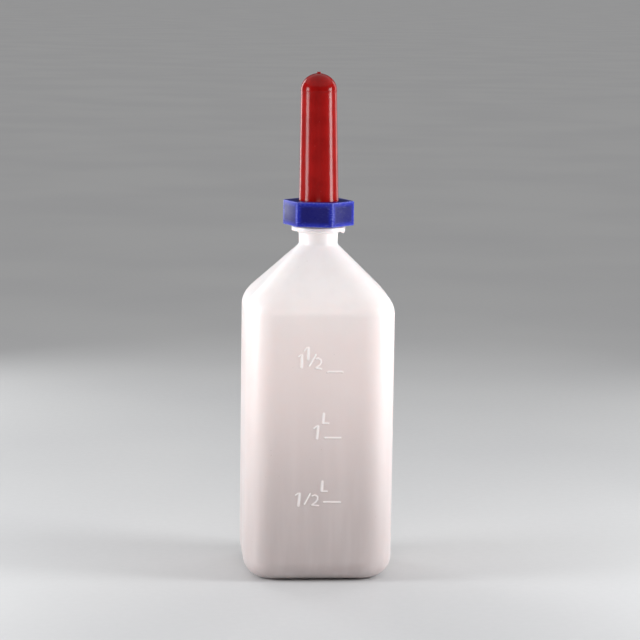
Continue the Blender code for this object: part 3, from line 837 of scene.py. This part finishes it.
def collar_material():
    """Deep blue plastic, rubbed pale along its edges, with a painted highlight in a band beside them,
    and scratched round its sides.
    """
    shader = Shader("blue_plastic")
    cloud = shader.noise(14, 2)
    grain = shader.noise(0.5, 3)
    scratch = shader.ramp(shader.noise(1.1, 5, 0.7, place=shader.stretched(0.35, 0.35, 2.2)), 0.56, 0.68)
    haze = shader.ramp(shader.noise(2.4, 4, 0.6), 0.35, 0.70)
    chalk = shader.ramp(shader.noise(0.9, 4, 0.6), 0.38, 0.60)
    edge = shader.hexagon_edge()
    worn = shader.math("MULTIPLY", shader.ramp(edge, 1.1, 0.25), chalk)
    # Painted highlight: a brighter blue band within 4.5 mm of every edge, where the lamps catch the
    # bevels.
    painted_edge_highlight = shader.ramp(edge, 4.5, 0.3)
    rubbed = shader.ramp(edge, 5.0, 0.4, 0.08, 0.7)
    tone = shader.mottled(cloud, (0.0030, 0.0035, 0.120), (0.0040, 0.0045, 0.145))
    tone = shader.over(tone, painted_edge_highlight, 1.0, 0.010, 0.020, 0.40)
    tone = shader.over(tone, worn, 0.8, 0.16, 0.19, 0.60)
    tone = shader.over(tone, scratch, rubbed, 0.25, 0.28, 0.66)
    shader.set(
        base_color=tone,
        roughness=shader.rough(grain, 0.26, 0.34, (haze, 0.10), (worn, 0.15)),
        ior=1.49,
        specular_ior_level=0.32,
    )
    shader.bump((0.05, cloud), (0.012, grain), (0.02, scratch))
    return shader.material


def teat_material():
    """Glossy dark red rubber, with pale specks of dust and fine scratches."""
    shader = Shader("red_rubber")
    cloud = shader.noise(11, 3)
    grain = shader.noise(0.6, 3)
    specks = shader.ramp(shader.cells(2.4), 0.10, 0.03)
    kept = shader.ramp(shader.noise(3.1, 2), 0.54, 0.60)
    speck = shader.math("MULTIPLY", specks, kept)
    scratch = shader.ramp(shader.noise(1.4, 5, 0.7, place=shader.stretched(2.6, 2.6, 0.22)), 0.64, 0.74)
    tone = shader.mottled(cloud, (0.30, 0.0050, 0.0045), (0.36, 0.0070, 0.0062))
    tone = shader.over(tone, speck, 0.5, 0.62, 0.24, 0.22)
    shader.set(
        base_color=tone,
        roughness=shader.rough(grain, 0.13, 0.19, (scratch, 0.22)),
        ior=1.50,
        specular_ior_level=0.2,
        subsurface_weight=0.10,
        subsurface_scale=0.0008,
        subsurface_radius=(1.0, 0.12, 0.1),
    )
    shader.bump((0.025, cloud), (0.004, grain), (0.05, speck), (0.03, scratch))
    return shader.material


def soft_white_material(name, base, roughness, weight):
    """Milky silicone and natural polypropylene, for the small parts under the cap."""
    shader = Shader(name)
    cloud = shader.noise(5, 2)
    grain = shader.noise(0.4, 3)
    darker = [channel * 0.93 for channel in base]
    shader.set(
        base_color=shader.mottled(cloud, base, darker),
        roughness=shader.rough(grain, roughness, roughness + 0.1),
        ior=1.48,
        subsurface_weight=weight,
        subsurface_scale=0.0015,
        subsurface_radius=(1.0, 0.9, 0.8),
    )
    shader.bump((0.02, cloud), (0.006, grain))
    return shader.material


def ball_material():
    """Polished stainless steel, with faint stains and polishing lines."""
    shader = Shader("stainless_steel")
    polish = shader.noise(0.35, 4, place=shader.stretched(1, 1, 4))
    stain = shader.ramp(shader.noise(3, 3), 0.4, 0.7)
    shader.set(
        base_color=shader.over(colour(0.62, 0.61, 0.60), stain, 1.0, 0.54, 0.52, 0.50),
        metallic=1.0,
        roughness=shader.rough(polish, 0.10, 0.22),
    )
    shader.bump((0.003, polish))
    return shader.material


def floor_material():
    """A plain pale floor, barely clouded."""
    shader = Shader("studio_floor")
    cloud = shader.ramp(shader.noise(420, 2), 0.3, 0.7)
    shader.set(
        base_color=shader.over(colour(0.62, 0.62, 0.62), cloud, 1.0, 0.585, 0.585, 0.59),
        roughness=shader.rough(shader.noise(6, 3), 0.55, 0.65),
    )
    return shader.material


def paint(piece, material):
    piece.data.materials.clear()
    piece.data.materials.append(material)


def paint_cad(node, material):
    """Gives a carried-over CAD node its finish on the object, so that its mesh stays as it was."""
    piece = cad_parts[node]
    for slot in piece.material_slots:
        slot.link = "OBJECT"
        slot.material = material


# ---------------------------------------------------------------- stage, camera and lights

FLOOR_RADIUS = 400
CAMERA_AZIMUTH = math.radians(-4.33)
CAMERA_ELEVATION = math.radians(7.89)
CAMERA_ROLL = math.radians(0.78)
CAMERA_DISTANCE = 1.8543
CAMERA_TARGET = Vector((2.14, -0.16, 187.12)) * MM
CAMERA_LENS, CAMERA_SENSOR = 140.6, 36  # in millimetres
COOL = (0.97, 0.985, 1.0)
WARM = (1.0, 0.90, 0.87)


def build_floor():
    """A wide flat disc, so that it fills the view at every angle from above."""
    bm = bmesh.new()
    bmesh.ops.create_circle(bm, cap_ends=True, segments=96, radius=FLOOR_RADIUS)
    floor = object_from("floor", bm)
    paint(floor, floor_material())


def build_camera():
    """A long lens that looks slightly down at the bottle's middle, rolled a little."""
    data = bpy.data.cameras.new("camera")
    data.lens = CAMERA_LENS
    data.sensor_width = CAMERA_SENSOR
    data.clip_end = 2 * FLOOR_RADIUS
    camera = linked("camera", data)
    back = Vector(
        (
            math.sin(CAMERA_AZIMUTH) * math.cos(CAMERA_ELEVATION),
            -math.cos(CAMERA_AZIMUTH) * math.cos(CAMERA_ELEVATION),
            math.sin(CAMERA_ELEVATION),
        )
    )
    right = Vector((math.cos(CAMERA_AZIMUTH), math.sin(CAMERA_AZIMUTH), 0))
    up = back.cross(right)
    tilted_right = right * math.cos(CAMERA_ROLL) + up * math.sin(CAMERA_ROLL)
    tilted_up = up * math.cos(CAMERA_ROLL) - right * math.sin(CAMERA_ROLL)
    turn_to = Matrix((tilted_right, tilted_up, back)).transposed().to_4x4()
    camera.matrix_world = Matrix.Translation(CAMERA_TARGET + back * CAMERA_DISTANCE) @ turn_to
    bpy.context.scene.camera = camera


def softbox(name, azimuth, distance, height, aim, size, power, tint, spread=180):
    """A rectangular light, turned to the object's axis at the height aim.

    Its azimuth is in degrees from the camera's side of the object, positive to the right.
    """
    data = bpy.data.lights.new(name, "AREA")
    data.shape = "RECTANGLE"
    data.size, data.size_y = size
    data.energy = power
    data.color = tint
    data.spread = math.radians(spread)
    light = linked(name, data)
    angle = math.radians(azimuth) + CAMERA_AZIMUTH
    place = Vector((distance * math.sin(angle), -distance * math.cos(angle), height))
    light.location = place
    light.rotation_euler = (Vector((0, 0, aim)) - place).to_track_quat("-Z", "Y").to_euler()


def overhead(power, softness):
    """Even light from straight above, for the floor and for whatever faces up."""
    data = bpy.data.lights.new("overhead", "SUN")
    data.energy = power
    data.angle = math.radians(softness)
    linked("overhead", data)


def dim_surroundings(tint, strength):
    world = bpy.data.worlds.new("studio")
    bpy.context.scene.world = world
    world.use_nodes = True
    background = world.node_tree.nodes["Background"]
    background.inputs["Color"].default_value = colour(*tint)
    background.inputs["Strength"].default_value = strength


def build_lights():
    """Two upright strips beside the bottle, two rims behind it and a weak, narrow light in front."""
    strip = {"distance": 0.80, "height": 0.33, "aim": 0.22, "size": (0.27, 0.50), "tint": COOL}
    rim = {"distance": 1.0, "height": 0.46, "aim": 0.30, "size": (0.30, 0.70), "tint": COOL}
    front = {"distance": 0.45, "height": 0.30, "aim": 0.136, "size": (0.30, 0.16), "tint": WARM}
    softbox("left_strip", -75, power=5.4, **strip)
    softbox("right_strip", 80, power=6.6, **strip)
    softbox("left_rim", -143, power=2.4, **rim)
    softbox("right_rim", 138, power=1.3, **rim)
    softbox("front_grid", 0, power=0.042, spread=40, **front)
    overhead(power=1.45, softness=120)
    dim_surroundings(tint=(0.95, 0.96, 1.0), strength=0.05)


def main():
    paint(build_bottle(), bottle_material())
    paint(build_collar(), collar_material())
    paint(build_teat(), teat_material())
    silicone = soft_white_material("milky_silicone", (0.75, 0.75, 0.72), 0.32, 0.3)
    polypropylene = soft_white_material("natural_polypropylene", (0.8, 0.8, 0.78), 0.35, 0.2)
    paint_cad("rim_gasket", silicone)
    paint_cad("vent_duckbill", silicone)
    paint_cad("valve_seat", polypropylene)
    paint_cad("valve_cage", polypropylene)
    paint_cad("valve_ball", ball_material())
    build_floor()
    build_camera()
    build_lights()
    bpy.context.scene.view_settings.view_transform = "Standard"


main()
